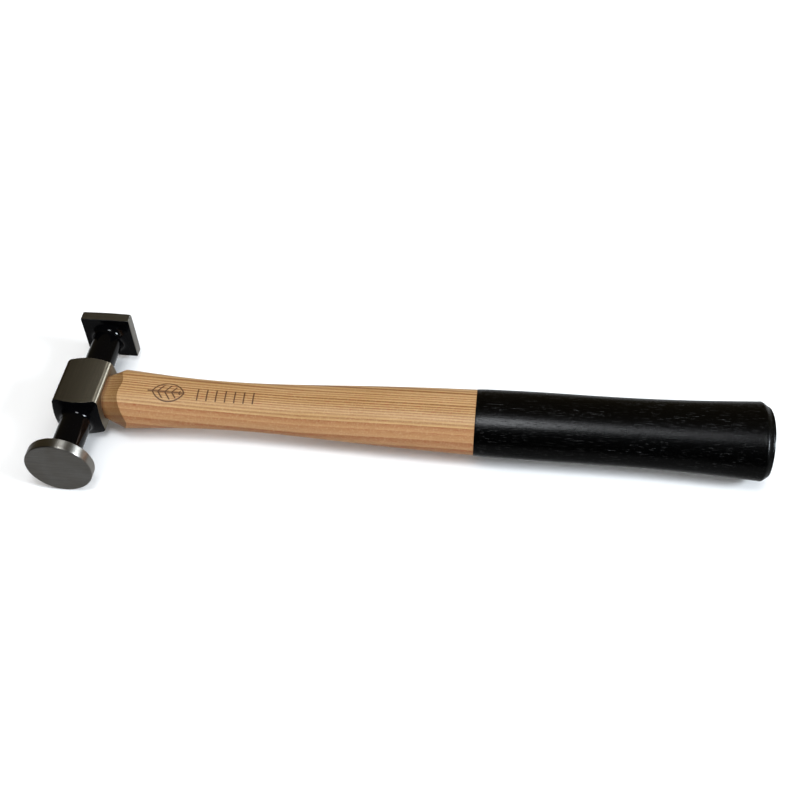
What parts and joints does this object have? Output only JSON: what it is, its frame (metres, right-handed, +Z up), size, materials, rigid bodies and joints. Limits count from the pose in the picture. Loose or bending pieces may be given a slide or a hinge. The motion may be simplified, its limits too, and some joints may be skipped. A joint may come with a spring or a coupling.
{
  "type": "auto body hammer",
  "caption": "Light double-faced body hammer: round flat face and square face on slim necks, hickory handle with a black dipped grip.",
  "frame": {"origin": "centre of the round striking face", "axes": "-Y is the round face's outward normal, so the head runs along +Y to the square face; +X runs from the head along the handle to the butt; +Z is up, towards the marked side of the handle, with the hammer lying on its side"},
  "size_m": [0.3247, 0.087, 0.0306],
  "materials": {
    "ground_steel": "satin ground steel",
    "black_paint": "gloss black paint on steel",
    "hickory": "fine-sanded hickory, thinly lacquered",
    "grip_lacquer": "semi-gloss black dipped lacquer",
    "wedge_wood": "plain hardwood wedge, end grain",
    "wedge_steel": "plain mild steel wedge"
  },
  "bodies": {
    "root": {"head": "ground_steel", "round_arm_paint": "black_paint", "square_arm_paint": "black_paint", "handle": "hickory", "grip_coat": "grip_lacquer", "wood_wedge": "wedge_wood", "steel_wedge": "wedge_steel"}
  },
  "joints": []
}
